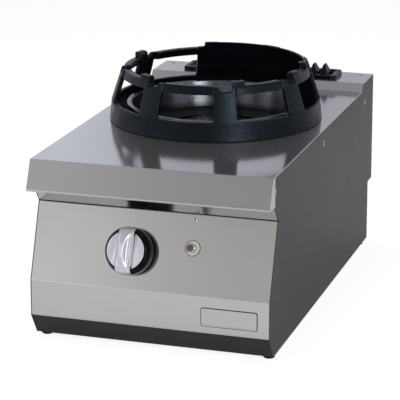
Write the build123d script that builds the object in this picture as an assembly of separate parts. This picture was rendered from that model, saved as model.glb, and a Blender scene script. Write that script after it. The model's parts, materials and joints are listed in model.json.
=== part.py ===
from build123d import *
import math
import os

# Table-top wok range: one burner under a cast-iron wok ring, in a 400 x 700 mm casing.
# Millimetres. X is the width, the front faces -Y, and Z is up from the floor.
# Everything is laid out from the worktop's front edge (y = 0) and moved at the end, so
# that the origin is at the bottom centre of the whole object's box.

# ---- casing ----
width = 400.0
depth = 700.0                 # foremost edge of the lip to the back of the flue cover
worktop_height = 300.0        # floor to worktop surface
foot_height = 7.0
sheet = 1.5
bend_radius = 1.2             # inside radius of every fold
seam = 0.2                    # gap between neighbouring sheets
seat_gap = 0.3                # pieces that lift off, and curved faces of different bodies
through = 400.0               # cuts that pass right through

lip_drop = 48.5
lip_lean = 21.5               # the lip's lower edge stands this far in front of its top
lip_return = 33.0
recess_drop = 28.0
recess_back = 19.5
panel_lean = 44.5
band_drop = 60.0
band_lean = 1.5
kick_drop = 35.5
kick_back = 22.0
panel_return = 14.0

rear_overhang = 29.5
overhang_height = 108.0       # underside of the overhang above the base pan
upstand_height = 13.5
upstand_top = 83.0
upstand_slope = 12.0
cover_lap = 5.0               # worktop reaching under the foot of the flue cover

base_flange_height = 20.0
base_flange_front = 50.0      # base pan's flanges start this far behind its front
base_flange_back = 10.0

# ---- burner opening in the worktop ----
collar_inset = 34.0           # collar inside the wok ring's foot
collar_height = 26.5
collar_foot = 8.0             # the collar's foot under the worktop
collar_clearance = 0.1
stiffener_drop = 44.0
stiffener_setback = 3.0

# ---- wok ring ----
ring_radius = 181.5
ring_band_height = 32.5
ring_band_inset = 3.5
ring_rim_height = 88.0
ring_rim_inset = 22.0
ring_to_upstand = 55.0
post_count = 8
post_offset = 22.5            # degrees from the front to the first post, towards +X
post_width = 13.0             # degrees
post_wall = 7.8
bay_recess = 3.0              # rim and closed bays stand this far in from the posts
closed_bay_wall = 4.8
rim_width = 13.0
window_top = 74.0
shield_height = 96.0
shield_start = 101.5          # degrees from the front, where the raised back begins
shield_end = 204.5
notch_depth = 7.5
notch_width = 17.0
notch_slope = 5.0
tab_start = 4.25              # degrees from the post's middle
tab_width = 8.25              # degrees
tab_depth = 14.0
tab_inset = 1.5               # behind the rim's outer edge
tab_drop = 12.0
tab_rise = 8.0
tab_round = 5.0
tab_sides = (1, 1, 0, 0, 0, 1, 0, -1)      # side of each post with a pan rest, 0 for none
notch_sides = (1, 1, 0, 0, 0, 1, 1, -1)    # side of each post that its notch opens towards

# ---- spill bowl ----
bowl_lap = 4.5                # flange beyond the collar
bowl_seat = 3.0               # wall inside the collar, across
bowl_depth = 48.0
bowl_lean = 5.0               # the wall leans in from the flange to the floor
bowl_fall = 2.5               # the floor falls towards the burner
bowl_sheet = 1.5
bowl_skirt = 6.0
hole_margin = 18.0            # bowl's hole outside the burner head

# ---- burner ----
head_radius = 72.0
head_height = 20.0
head_bore = 26.0
head_skin = 5.0
head_shoulder = 8.0
head_foot = 6.0
head_foot_inset = 3.0
head_rise = 6.5               # burner head's top above the bowl's lowest edge
port_count = 30
port_width = 3.2
port_length = 22.0
port_edge = 2.0
port_cut = 8.0
port_slant = 35.0             # degrees
cap_clearance = 2.0
cap_lip = 6.0
cap_rise = 8.0
cap_dome = 2.0
cap_flat = 17.0
cap_stem = 4.0                # below the burner head
cap_socket_wall = 4.0
cap_socket_drop = 6.0
head_lap = 10.0               # burner head beyond the chamber
chamber_height = 42.0
chamber_wall = 5.0
mixing_radius = 19.0
mixing_wall = 4.0
bell_flare = 6.0
bell_length = 12.0
mouth_back = 135.0            # mouth of the mixing tube behind the worktop's front edge
support_width = 60.0
support_lap = 12.0            # its ears up the stiffeners
support_inset = 12.0

injector_gap = 12.0           # injector in front of the mixing tube's mouth
injector_radius = 6.0
injector_across = 16.0
injector_hexagon = 8.0
injector_shank = 8.0
injector_nose = 4.0
injector_nose_radius = 3.5
injector_bore = 1.2
holder_thickness = 3.0
holder_width = 46.0
holder_height = 56.0
holder_arm = 30.0
holder_saddle = 12.0
shutter_thickness = 1.5

# ---- flue grate ----
grate_length = 290.0
grate_width = 60.0
grate_bar = 10.0
grate_height = 7.0
grate_corner = 9.0
grate_inner_corner = 3.0
grate_bevel = 1.6
grate_pitch = 19.8
grate_rib = 7.0
grate_tooth_width = 16.8
grate_tooth_length = 34.0
grate_tooth_rise = 15.5
grate_tip_width = 3.0
grate_tip_length = 11.0
grate_tooth_root = 2.5
grate_lug = 6.0
grate_lug_wall = 4.0
grate_clearance = 1.0

# ---- knob, measured on the slanted panel: across, and up from its middle ----
knob_x = -33.5
knob_up = -4.0
knob_radius = 38.0
knob_gap = 4.6
knob_skirt = 17.4
knob_shoulder = 9.4
knob_rim = 7.3                # silver face inside the skirt
knob_wall = 2.6
knob_face_thickness = 1.6
knob_lean = 1.0               # degrees that the grip leans clockwise at rest
grip_left = 14.0
grip_right = 11.0
grip_rise = 8.0
grip_end_rise = 3.0
grip_inset = 0.6
pointer_across = 6.2
pointer_width = 1.3
pointer_length = 40.0
pointer_rise = 1.0
hub_radius = 9.0
hub_start = 4.0
stem_cap = 2.0

# ---- gas valve ----
stem_radius = 4.95
stem_clearance = 0.05
stem_hole_gap = 1.5
stem_collar_radius = 7.0
stem_collar = 1.5
stem_collar_drop = 4.2
push_travel = 3.0
valve_flange_radius = 24.0
valve_flange = 4.0
valve_radius = 16.0
valve_screw_reach = 17.0
valve_screw_length = 5.0
port_radius = 9.0
port_bore = 4.5
port_stub = 10.0
port_root = 4.0
spring_room = 20.0
spring_chamber_radius = 10.0
spring_radius = 7.6
spring_wire = 0.8
spring_turns = 4
spring_seat_thickness = 1.6
coil_gap = 0.1                # between a coil's end and its seat
valve_neck = 8.5
valve_throat = 6.0            # between the spring and the plug
valve_tail = 14.0
plug_radius = 8.0
plug_length = 20.0
plug_clearance = 0.06
plug_port = 2.5
drive_square = 5.0
drive_clearance = 0.3
drive_depth = 8.0
drive_shoulder = 1.0

# ---- piezo igniter ----
piezo_x = 66.2
piezo_up = 10.0
piezo_bezel_radius = 12.6
piezo_bezel_height = 2.4
piezo_collar_radius = 7.6
piezo_collar_height = 15.0
piezo_thread = 14.0           # collar behind the panel's face
piezo_hole_gap = 0.2
piezo_nut_across = 22.0
piezo_nut_thickness = 4.0
piezo_button_radius = 4.9
piezo_button_proud = 19.0
piezo_button_tail = 8.0
piezo_button_bevel = 0.6
piezo_body_radius = 9.0
piezo_body_length = 46.0
piezo_chamber = 30.0
piezo_spring_radius = 3.8
piezo_spring_wire = 0.7
piezo_spring_turns = 6
piezo_tail_radius = 2.5
piezo_tail = 8.0
piezo_clearance = 0.06

sight_x = 65.5
sight_drop = 10.0             # below the panel's top edge
sight_radius = 2.0

# ---- name plate, left blank ----
plate_width = 91.0
plate_height = 28.6
plate_thickness = 1.2
plate_right_margin = 21.3
plate_drop = 18.0             # below the fold
plate_corner = 3.0
plate_rim = 1.4
plate_sink = 0.4

# ---- gas train ----
inlet_margin = 50.0           # inlet in from the right side
inlet_height = 60.0
inlet_radius = 10.48
inlet_shoulder_radius = 12.0  # thread under the locknut
inlet_hole_gap = 0.3
inlet_bore = 7.0
inlet_length = 22.0
inlet_flange_radius = 14.0
inlet_flange = 4.0
inlet_tail = 12.0
nut_across = 30.0
nut_thickness = 7.0
pipe_radius = 7.0
pipe_wall = 1.5
pipe_drop = 24.0              # supply pipe below the valve's port before it turns
clip_width = 22.0
clip_length = 14.0
clip_wall = 2.0
clip_head = 10.0
clip_reach = (-60.0, 140.0)   # clips before and behind the burner's middle
tube_radius = 4.0
tube_wall = 1.0
tube_rise = 20.0
tube_offset = 6.0
pilot_radius = 2.0
pilot_wall = 0.6
pilot_run = 46.0
pilot_rise = 55.0
lead_radius = 1.5
wire_radius = 2.2
wire_bend = 12.0
wire_start = 26.0

pilot_angle = 40.0            # degrees from the front towards +X
pilot_step = 11.0             # degrees between the pilot, the sensor and the spark
pilot_shelf_drop = 14.0       # bracket below the chamber's top
pilot_shelf_sheet = 2.0
pilot_shelf_margin = 7.0
pilot_shelf_sweep = 34.0      # degrees
pilot_tongue_drop = 10.0
pilot_tongue_sweep = 16.0     # degrees
pilot_burner_radius = 4.5
pilot_burner_foot = 10.0
pilot_burner_drop = 7.0       # its tip below the burner head's top
pilot_vent_radius = 1.2
pilot_vent_drop = 6.0
pilot_pipe_drop = 45.0        # each line's run below the bracket
sensor_line_drop = 110.0
spark_line_drop = 62.0
sensor_back = 20.0            # each line's turn behind the mixing tube's mouth
spark_back = 40.0
sensor_drop = 5.0
electrode_radius = 3.0
electrode_half = 12.0
electrode_wire = 1.0
electrode_drop = 4.0

# ---- fixings ----
joining_spacing = 300.0
joining_first = 14.0          # first joining hole behind the worktop's front edge
joining_drop = 25.0
joining_radius = 2.6
insert_radius = 5.0
insert_length = 10.0
cover_hole_margin = 19.0
cover_hole_inset = 20.0
cover_hole_radius = 3.0
foot_radius = 9.5
foot_inset = 12.0
foot_recess = 4.0
screw_radius = 2.0
screw_slack = 0.2
screw_head_radius = 4.0
screw_head = 2.4
screw_across = 8.0
screw_nut = 3.0
screw_end = 8.0               # foot screw above the base pan's underside
small_head_radius = 3.4
small_head = 1.0
rear_screw_inset = 14.0
rear_screw_head = 1.6
rear_screw_length = 9.0

# ---- places worked out from the sizes above ----
half = width / 2
top = worktop_height
floor_pan = foot_height
inner_half = half - sheet - seam
lip_low = top - lip_drop
panel_drop = top - foot_height - lip_drop - recess_drop - band_drop - kick_drop
rear = depth - lip_lean
back_wall = rear - rear_overhang
upstand_start = rear - upstand_top - upstand_slope
cover_top = top + upstand_height
overhang_z = floor_pan + overhang_height
worktop_rear = upstand_start + cover_lap
grate_y = rear - upstand_top / 2
burner_y = upstand_start - ring_to_upstand - ring_radius
collar_radius = ring_radius - collar_inset
cover_hole_x = half - cover_hole_margin
inlet_x = half - inlet_margin

lip_front = (-lip_lean, lip_low)
lip_inner = (lip_return - lip_lean, lip_low)
panel_top = (lip_inner[0] + recess_back, lip_low - recess_drop)
fold = (panel_top[0] - panel_lean, panel_top[1] - panel_drop)
band_low = (fold[0] - band_lean, fold[1] - band_drop)
kick_low = (band_low[0] + kick_back, band_low[1] - kick_drop)


def slanted_plane(upper, lower, at=0.5):
    """A plane on a front face: X across, Y up the face, Z outward."""
    run = math.hypot(upper[0] - lower[0], upper[1] - lower[1])
    normal = (0, (lower[1] - upper[1]) / run, (upper[0] - lower[0]) / run)
    middle_y = upper[0] + (lower[0] - upper[0]) * at
    middle_z = upper[1] + (lower[1] - upper[1]) * at
    return Plane(origin=(0, middle_y, middle_z), x_dir=(1, 0, 0), z_dir=normal)


def frame_point(plane, x, y, z):
    """A point given in a tilted plane's own directions, as plain coordinates."""
    point = plane.from_local_coords(Vector(x, y, z))
    return (point.X, point.Y, point.Z)


panel_face = slanted_plane(panel_top, fold)
panel_length = math.hypot(panel_lean, panel_drop)
band_face = slanted_plane(fold, band_low, at=0)
knob_axis = panel_face * Pos(knob_x, knob_up, 0)
piezo_axis = panel_face * Pos(piezo_x, piezo_up, 0)
sight_up = panel_length / 2 - sight_drop
knob_plane = Plane(
    origin=frame_point(panel_face, knob_x, knob_up, 0), x_dir=(1, 0, 0), z_dir=panel_face.z_dir
)
piezo_plane = Plane(
    origin=frame_point(panel_face, piezo_x, piezo_up, 0), x_dir=(1, 0, 0), z_dir=panel_face.z_dir
)
panel_back = -sheet

# Heights along the knob's axis, from the panel's face outward.
knob_rim_z = knob_gap + knob_skirt
knob_face_z = knob_rim_z + knob_shoulder
knob_face_radius = knob_radius - knob_rim
flange_back = panel_back - valve_flange
spring_top = flange_back - valve_neck
spring_end = spring_top - spring_room
plug_top = spring_end - valve_throat
port_depth = plug_top - plug_length / 2
valve_end = plug_top - plug_length - valve_tail + valve_throat
stem_collar_z = spring_top - stem_collar_drop
spring_seat_z = stem_collar_z - stem_collar - seat_gap
piezo_button_end = -piezo_thread - piezo_button_tail
piezo_body_end = -piezo_thread - piezo_body_length

bowl_flange_radius = collar_radius + bowl_lap
bowl_throat_radius = collar_radius - sheet - bowl_seat / 2
bowl_hole_radius = head_radius + hole_margin
bowl_top = top + collar_height + seat_gap
bowl_low = bowl_top - bowl_depth
cap_radius = head_bore - cap_clearance
chamber_radius = head_radius - head_lap
head_top = bowl_low + head_rise
chamber_top = head_top - head_height - seat_gap
chamber_low = chamber_top - chamber_height
mixing_z = chamber_low + chamber_height / 2
injector_y = mouth_back - injector_gap
pilot_shelf = chamber_top - pilot_shelf_drop
pilot_ring = (head_radius + bowl_hole_radius) / 2


# ---- helpers ----
def side_face(points):
    """A closed outline in (y, z)."""
    return make_face(Plane.YZ * Polyline(*points, close=True))


def along_x(face, x_from, x_to):
    return Pos(x_from, 0, 0) * extrude(face, amount=x_to - x_from, dir=(1, 0, 0))


def block(x_from, x_to, y_from, y_to, z_from, z_to):
    middle = Pos((x_from + x_to) / 2, (y_from + y_to) / 2, (z_from + z_to) / 2)
    return middle * Box(abs(x_to - x_from), y_to - y_from, z_to - z_from)


def shifted_left(points, distance):
    """An open outline moved sideways to the left of its direction, with mitred corners."""
    normals = []
    for (y1, z1), (y2, z2) in zip(points, points[1:]):
        run = math.hypot(y2 - y1, z2 - z1)
        normals.append(((z1 - z2) / run, (y2 - y1) / run))
    moved = []
    for index, (y, z) in enumerate(points):
        first = normals[max(index - 1, 0)]
        second = normals[min(index, len(normals) - 1)]
        share = distance / (1 + first[0] * second[0] + first[1] * second[1])
        moved.append((y + (first[0] + second[0]) * share, z + (first[1] + second[1]) * share))
    return moved


def folded_sheet(points, x_from, x_to, thickness=sheet):
    """A sheet bent along an open outline in (y, z), with rounded folds."""
    inner = shifted_left(points, thickness)
    face = side_face([*points, *reversed(inner)])
    for corners, radius in ((points, bend_radius + thickness), (inner, bend_radius)):
        for y, z in corners[1:-1]:
            near = face.vertices().sort_by_distance((0, y, z))[0]
            face = fillet(near, radius)
    return along_x(face, x_from, x_to)


def ring_angle(degrees):
    """Turns from the +X direction to an angle counted from the front towards +X."""
    return Rot(0, 0, degrees - 90)


def section(points):
    """A closed outline in (radius, height), always taken anticlockwise."""
    following = points[1:] + points[:1]
    area = sum(r1 * z2 - r2 * z1 for (r1, z1), (r2, z2) in zip(points, following))
    ordered = points if area > 0 else points[::-1]
    return make_face(Plane.XZ * Polyline(*ordered, close=True))


def sector(points, start, sweep):
    """A section turned about Z through part of a circle."""
    return ring_angle(start) * revolve(section(points), axis=Axis.Z, revolution_arc=sweep)


def turned(points):
    return revolve(section(points), axis=Axis.Z)


def disc(radius, low, high, x=0.0, y=0.0):
    return Pos(x, y, (low + high) / 2) * Cylinder(radius, high - low)


def rod_along_y(radius, y_from, y_to, z):
    return Pos(0, (y_from + y_to) / 2, z) * Rot(90, 0, 0) * Cylinder(radius, y_to - y_from)


def tube_along(points, radius, wall, bends):
    """A round tube on straight runs joined by arcs."""
    path = FilletPolyline(*points, radius=bends)
    start = Plane(origin=path @ 0, z_dir=path % 0)
    outside = sweep(start * Circle(radius), path=path)
    if wall <= 0:
        return outside
    return outside - sweep(start * Circle(radius - wall), path=path)


def hexagon(across, low, high):
    return Pos(0, 0, low) * extrude(RegularPolygon(across / 2, 6, major_radius=False), high - low)


def coil(radius, wire, low, high, turns, place):
    """One unbroken coil between two heights."""
    climb = (high - low - 2 * wire) / turns
    path = Helix(pitch=climb, height=climb * turns, radius=radius)
    profile = Plane(origin=path @ 0, z_dir=path % 0) * Circle(wire)
    return place * Pos(0, 0, low + wire) * sweep(profile, path=path, is_frenet=True)


# ---- casing ----
def worktop():
    """The top sheet with its front lip, closed at each end by a welded cap."""
    outline = [(worktop_rear, top), (0, top), lip_front, lip_inner]
    shell = folded_sheet(outline, -half, half)
    cap_face = side_face(
        [(sheet, top - sheet), (lip_front[0] + 2 * sheet, lip_low + sheet),
         (lip_inner[0], lip_low + sheet), (lip_inner[0], top - sheet)]
    )
    for side in (-1, 1):
        shell += along_x(cap_face, side * half, side * (half - sheet))
    for x, y in joining_places():
        shell -= joining_cut(x, y)
    return shell - disc(collar_radius + collar_clearance, top - through, top + through, y=burner_y)


def worktop_stiffeners():
    """Upright strips under the worktop's sides, drilled for the joining inserts."""
    strips = []
    for side in (-1, 1):
        outer = side * inner_half
        strip = block(
            outer, outer - side * sheet, lip_inner[0] + stiffener_setback,
            upstand_start - stiffener_setback, top - sheet - stiffener_drop, top - sheet,
        )
        for x, y in joining_places():
            if x * side > 0:
                strip -= joining_cut(x, y)
        strips.append(strip)
    return strips


def burner_collar():
    """The raised ring round the burner opening, with its foot under the worktop."""
    under = top - sheet
    collar = turned([
        (collar_radius - sheet, under - sheet), (collar_radius + collar_foot, under - sheet),
        (collar_radius + collar_foot, under), (collar_radius, under),
        (collar_radius, top + collar_height), (collar_radius - sheet, top + collar_height),
    ])
    return Pos(0, burner_y, 0) * collar


def joining_places():
    """Where neighbouring units are screwed together: as many as the depth has room for."""
    places = []
    y = joining_first
    while y < back_wall - insert_radius:
        places += [(-half, y), (half, y)]
        y += joining_spacing
    return places


def joining_cut(x, y):
    return Pos(x, y, top - joining_drop) * Rot(0, 90, 0) * Cylinder(insert_radius, insert_length)


def side_panel(side):
    front = lip_inner[0] + seam
    inset = sheet + seam
    step_y = worktop_rear + seam
    step_z = top + (cover_lap + seam) * upstand_height / upstand_slope - 2 * inset
    folds = [
        (rear - inset, overhang_z + inset), (rear - inset, cover_top - inset),
        (upstand_start + upstand_slope + inset, cover_top - inset),
    ]
    outline = [
        (front, top - inset), (front, lip_low), panel_top, fold, band_low, kick_low,
        (back_wall, floor_pan), (back_wall, overhang_z + inset), *folds,
        (step_y, step_z), (step_y, top - inset),
    ]
    face = side_face(outline)
    for y, z in folds:
        face = fillet(face.vertices().sort_by_distance((0, y, z))[0], bend_radius + seam)
    panel = along_x(face, side * half, side * (half - sheet))
    for x, y in joining_places():
        if x * side > 0:
            panel -= joining_cut(x, y)
    return panel


def joining_inserts():
    """Threaded inserts that take the screws between neighbouring units."""
    inserts = []
    for x, y in joining_places():
        direction = 1 if x > 0 else -1
        place = Plane(origin=(x, y, top - joining_drop), z_dir=(direction, 0, 0))
        body = disc(insert_radius - seam / 2, -insert_length, 0)
        body -= disc(joining_radius, -through, through)
        inserts.append(place * body)
    return inserts


def recess_panel():
    run = math.hypot(recess_back, recess_drop)
    along = (recess_back / run, -recess_drop / run)
    start = (lip_inner[0] + along[0] * sheet, lip_inner[1] + along[1] * sheet)
    end = (panel_top[0] - along[0] * sheet, panel_top[1] - along[1] * sheet)
    return folded_sheet([start, end], -inner_half, inner_half)


def control_panel():
    outline = [
        (panel_top[0] + panel_return, panel_top[1]), panel_top, fold, band_low,
        (band_low[0] + panel_return, band_low[1]),
    ]
    cut = 8 * sheet
    panel = folded_sheet(outline, -inner_half, inner_half)
    panel -= knob_axis * Cylinder(stem_radius + stem_hole_gap, cut)
    panel -= piezo_axis * Cylinder(piezo_collar_radius + piezo_hole_gap, cut)
    panel -= panel_face * Pos(sight_x, sight_up, 0) * Cylinder(sight_radius, cut)
    for place in valve_screw_places():
        panel -= place * Cylinder(screw_radius, cut)
    return panel


def kick_panel():
    start = (band_low[0] + sheet, band_low[1] - seam)
    metal = folded_sheet([start, kick_low], -inner_half, inner_half)
    room = block(-half, half, -depth, depth, floor_pan, band_low[1] - seam)
    return metal & room


def base_pan():
    front = kick_low[0] + 2 * sheet
    back = back_wall - sheet - seam
    pan = block(-inner_half, inner_half, front, back, floor_pan, floor_pan + sheet)
    for side in (-1, 1):
        outer = side * inner_half
        pan += block(outer, outer - side * sheet, front + base_flange_front,
                     back - base_flange_back, floor_pan, floor_pan + base_flange_height)
    for x, y in foot_places():
        pan -= disc(screw_radius + screw_slack, 0, through, x, y)
    return pan


def rear_panel():
    panel = block(-inner_half, inner_half, back_wall - sheet, back_wall, floor_pan, overhang_z - seam)
    inlet_hole = rod_along_y(inlet_shoulder_radius + inlet_hole_gap, 0, through + depth, inlet_height)
    panel -= Pos(inlet_x, 0, 0) * inlet_hole
    for x, z in rear_screw_places():
        panel -= Pos(x, 0, 0) * rod_along_y(screw_radius + screw_slack, 0, through + depth, z)
    return panel


def rear_screw_places():
    x = inner_half - rear_screw_inset
    heights = (floor_pan + rear_screw_inset, overhang_z - rear_screw_inset)
    return [(side * x, z) for side in (-1, 1) for z in heights]


def rear_screws():
    screws = []
    for x, z in rear_screw_places():
        head = rod_along_y(screw_head_radius, back_wall, back_wall + rear_screw_head, z)
        head = chamfer(head.edges().sort_by(Axis.Y)[-1], rear_screw_head / 2)
        shank = rod_along_y(screw_radius, back_wall - rear_screw_length, back_wall, z)
        screws.append(Pos(x, 0, 0) * (head + shank))
    return screws


def flue_cover():
    outline = [
        (back_wall + seam, overhang_z), (rear, overhang_z), (rear, cover_top),
        (upstand_start + upstand_slope, cover_top), (upstand_start, top),
    ]
    cover = folded_sheet(outline, -half, half)
    cover -= block(-half, half, upstand_start - upstand_slope, worktop_rear + upstand_slope,
                   lip_low, top)
    slot_length = grate_length - 2 * grate_bar + 2 * grate_clearance
    slot_width = grate_width - 2 * grate_bar + 2 * grate_clearance
    cover -= Pos(0, grate_y, cover_top) * Box(slot_length, slot_width, 8 * sheet)
    for side in (-1, 1):
        place = Pos(side * cover_hole_x, rear - cover_hole_inset, cover_top)
        cover -= place * Cylinder(cover_hole_radius, 8 * sheet)
    return cover


def foot_places():
    front = kick_low[0] + foot_inset + foot_radius / 2
    back = back_wall - sheet - foot_inset - foot_radius
    x = half - foot_inset
    return [(-x, front), (x, front), (-x, back), (x, back)]


def feet():
    pads = []
    for x, y in foot_places():
        pad = disc(foot_radius, 0, foot_height)
        pad -= disc(screw_head_radius + seat_gap, -foot_height, foot_recess)
        pad -= disc(screw_radius + screw_slack, 0, 2 * foot_height)
        pads.append(Pos(x, y, 0) * pad)
    return pads


def foot_screws():
    screws = []
    nut_low = floor_pan + sheet
    for x, y in foot_places():
        screw = disc(screw_head_radius, foot_recess - screw_head, foot_recess)
        screw += disc(screw_radius, foot_recess - sheet, floor_pan + screw_end)
        screw += hexagon(screw_across, nut_low, nut_low + screw_nut)
        screws.append(Pos(x, y, 0) * screw)
    return screws


def badge_plate():
    centre_x = half - plate_right_margin - plate_width / 2
    centre_drop = plate_drop + plate_height / 2
    outer = RectangleRounded(plate_width, plate_height, plate_corner)
    inner = RectangleRounded(
        plate_width - 2 * plate_rim, plate_height - 2 * plate_rim, plate_corner - plate_rim / 2
    )
    plate = extrude(outer, plate_thickness)
    plate -= Pos(0, 0, plate_thickness - plate_sink) * extrude(inner, plate_thickness)
    return band_face * Pos(centre_x, -centre_drop, 0) * plate


# ---- wok ring ----
def ring_outer(height):
    """Outside radius of the ring's cone at a height above the worktop."""
    if height <= ring_band_height:
        return ring_radius - ring_band_inset * height / ring_band_height
    share = (height - ring_band_height) / (ring_rim_height - ring_band_height)
    return ring_radius - ring_band_inset - (ring_rim_inset - ring_band_inset) * share


def wall_section(low, high, inset, thickness):
    """The ring's sloping wall between two heights, set in from its cone."""
    return [
        (ring_outer(low) - inset, low), (ring_outer(high) - inset, high),
        (ring_outer(high) - inset - thickness, high), (ring_outer(low) - inset - thickness, low),
    ]


def wall_stretch(start, end, low, inset, thickness):
    """A stretch of wall up to the rim, and higher where the raised back runs."""
    cuts = [start, *[cut for cut in (shield_start, shield_end) if start < cut < end], end]
    pieces = []
    for begin, finish in zip(cuts, cuts[1:]):
        raised = shield_start < (begin + finish) / 2 < shield_end
        high = shield_height if raised else ring_rim_height
        pieces.append(sector(wall_section(low, high, inset, thickness), begin, finish - begin))
    return pieces


def wok_ring():
    band = ring_band_height
    pitch = 360 / post_count
    walls = []
    tabs = []
    notches = []
    for index in range(post_count):
        post = post_offset + index * pitch
        post_end = post + post_width / 2
        bay_end = post + pitch - post_width / 2
        walls += wall_stretch(post - post_width / 2, post_end, band, 0, post_wall)
        if shield_start < post_end and bay_end < shield_end:
            walls += wall_stretch(post_end, bay_end, band, bay_recess, closed_bay_wall)
        else:
            walls += wall_stretch(post_end, bay_end, window_top, bay_recess, rim_width)
        if tab_sides[index]:
            tabs.append(pan_tab(post, tab_sides[index]))
        if notch_sides[index]:
            notches.append(post_notch(post, notch_sides[index]))
    ring = turned(wall_section(0, band, 0, post_wall)) + walls
    return Pos(0, burner_y, top + seat_gap) * ((ring + tabs) - notches)


def post_notch(post, side):
    """The cut beside a pan rest, with a slope on its other side."""
    rim_radius = ring_outer(ring_rim_height)
    near = side * math.radians(tab_start) * rim_radius
    far = near - side * notch_width
    outline = [
        (near, 2 * tab_rise), (near, -notch_depth), (far, -notch_depth),
        (far - side * notch_slope, 0), (far - side * notch_slope, 2 * tab_rise),
    ]
    face = make_face(Plane.YZ * Polyline(*outline, close=True))
    cut = extrude(face, amount=3 * tab_depth, dir=(1, 0, 0))
    return ring_angle(post) * Pos(rim_radius - 2 * tab_depth, 0, ring_rim_height) * cut


def pan_tab(post, side):
    """A rib on the rim that the pan rests on, rounded at its inner top."""
    high = ring_rim_height + tab_rise
    low = ring_rim_height - tab_drop
    outer = ring_outer(ring_rim_height) - tab_inset
    inner = outer - tab_depth
    corner = tab_round * (1 - math.sqrt(0.5))
    edge = Polyline((inner, high - tab_round), (inner, low), (outer, low), (outer, high),
                    (inner + tab_round, high))
    nose = ThreePointArc((inner + tab_round, high), (inner + corner, high - corner),
                         (inner, high - tab_round))
    face = make_face(Plane.XZ * (edge + nose))
    begin = post + tab_start if side > 0 else post - tab_start - tab_width
    return ring_angle(begin) * revolve(face, axis=Axis.Z, revolution_arc=tab_width)


# ---- bowl and burner ----
def spill_bowl():
    """A deep pan that hangs on the collar by its flange, with a hole for the burner."""
    high = bowl_top
    throat = bowl_throat_radius
    foot = throat - bowl_lean
    floor = bowl_low + bowl_fall
    hole = bowl_hole_radius
    edge = bowl_flange_radius
    t = bowl_sheet
    bowl = turned([
        (throat, high), (edge - t, high), (edge - t, high - bowl_skirt), (edge, high - bowl_skirt),
        (edge, high + t), (throat - t, high + t), (foot - t, floor + t), (hole, bowl_low + t),
        (hole, bowl_low), (foot, floor),
    ])
    return Pos(0, burner_y, 0) * bowl


def burner_head():
    """A ring with slanted flame ports round its shoulder."""
    high = head_height
    head = turned([
        (head_bore, 0), (head_radius - head_foot_inset, 0),
        (head_radius - head_foot_inset, head_foot), (head_radius, head_foot),
        (head_radius, high - head_shoulder), (head_radius - head_shoulder, high),
        (head_bore, high),
    ])
    hollow = chamber_radius - chamber_wall
    head -= turned([
        (head_bore + head_skin, -high), (hollow, -high), (hollow, high - head_skin),
        (head_bore + head_skin, high - head_skin),
    ])
    port_reach = head_radius - port_length / 2 - port_edge
    port = Pos(port_reach, 0, high) * Rot(0, 0, port_slant) * Box(port_length, port_width, 2 * port_cut)
    for index in range(port_count):
        head -= Rot(0, 0, index * 360 / port_count) * port
    return Pos(0, burner_y, head_top - high) * head


def burner_cap():
    end = -head_height - cap_stem
    cap = turned([
        (0, cap_rise), (cap_flat, cap_rise - cap_dome), (cap_radius + cap_lip, 0), (cap_radius, 0),
        (cap_radius, end), (0, end),
    ])
    return Pos(0, burner_y, head_top + seat_gap) * cap


def burner_body():
    """The chamber with its socket for the cap, and the mixing tube with a flared mouth."""
    floor = chamber_low + chamber_wall
    inside = disc(chamber_radius - chamber_wall, floor, chamber_top + chamber_height, y=burner_y)
    body = disc(chamber_radius, chamber_low, chamber_top, y=burner_y) - inside
    socket = disc(cap_radius + cap_socket_wall, chamber_low, chamber_top - cap_socket_drop, y=burner_y)
    body += socket - disc(cap_radius + seat_gap, floor, chamber_top, y=burner_y)
    chamber_front = burner_y - chamber_radius
    tube = rod_along_y(mixing_radius, mouth_back, burner_y, mixing_z)
    tube += rod_along_y(mixing_radius + bell_flare, mouth_back, mouth_back + bell_length, mixing_z)
    bore_end = chamber_front + chamber_wall + seat_gap
    bore = rod_along_y(mixing_radius - mixing_wall, mouth_back - bell_length, bore_end, mixing_z)
    kept = tube - disc(chamber_radius - chamber_wall, chamber_low, chamber_top, y=burner_y)
    return (body + kept) - bore


def support_places():
    reach = chamber_radius - chamber_wall - support_inset
    return [(-reach, burner_y), (reach, burner_y)]


def burner_support():
    """A cross member under the burner, with its ends turned up and fixed to the sides."""
    reach = inner_half - sheet - seam
    thickness = 2 * sheet
    front = burner_y - support_width / 2
    back = burner_y + support_width / 2
    low = chamber_low - thickness
    bar = block(-reach, reach, front, back, low, chamber_low)
    ear_top = top - sheet - stiffener_drop + support_lap
    for side in (-1, 1):
        bar += block(side * reach, side * (reach - thickness), front, back, low, ear_top)
    for x, y in support_places():
        bar -= disc(screw_radius + screw_slack, low - thickness, chamber_low + thickness, x, y)
    return bar


def burner_bolts():
    low = chamber_low - 2 * sheet
    bolts = []
    for x, y in support_places():
        bolt = disc(screw_radius, low - screw_nut, chamber_low)
        bolt += hexagon(screw_across, low - screw_nut, low)
        bolts.append(Pos(x, y, 0) * bolt)
    return bolts


def injector_holder():
    """An angle bracket on the burner's bell that carries the injector in line with it."""
    t = holder_thickness
    low = mixing_z - holder_height / 2
    plate = block(-holder_width / 2, holder_width / 2, injector_y - t, injector_y,
                  low, mixing_z + holder_height / 2)
    plate -= rod_along_y(injector_radius + seam / 2, injector_y - 2 * t, injector_y + t, mixing_z)
    arm = block(-holder_arm / 2, holder_arm / 2, injector_y - t, mouth_back, low - t, low)
    saddle = block(-holder_arm / 2, holder_arm / 2, mouth_back, mouth_back + holder_saddle,
                   low - t, mixing_z - mixing_radius - bell_flare)
    return plate + arm + saddle


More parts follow.
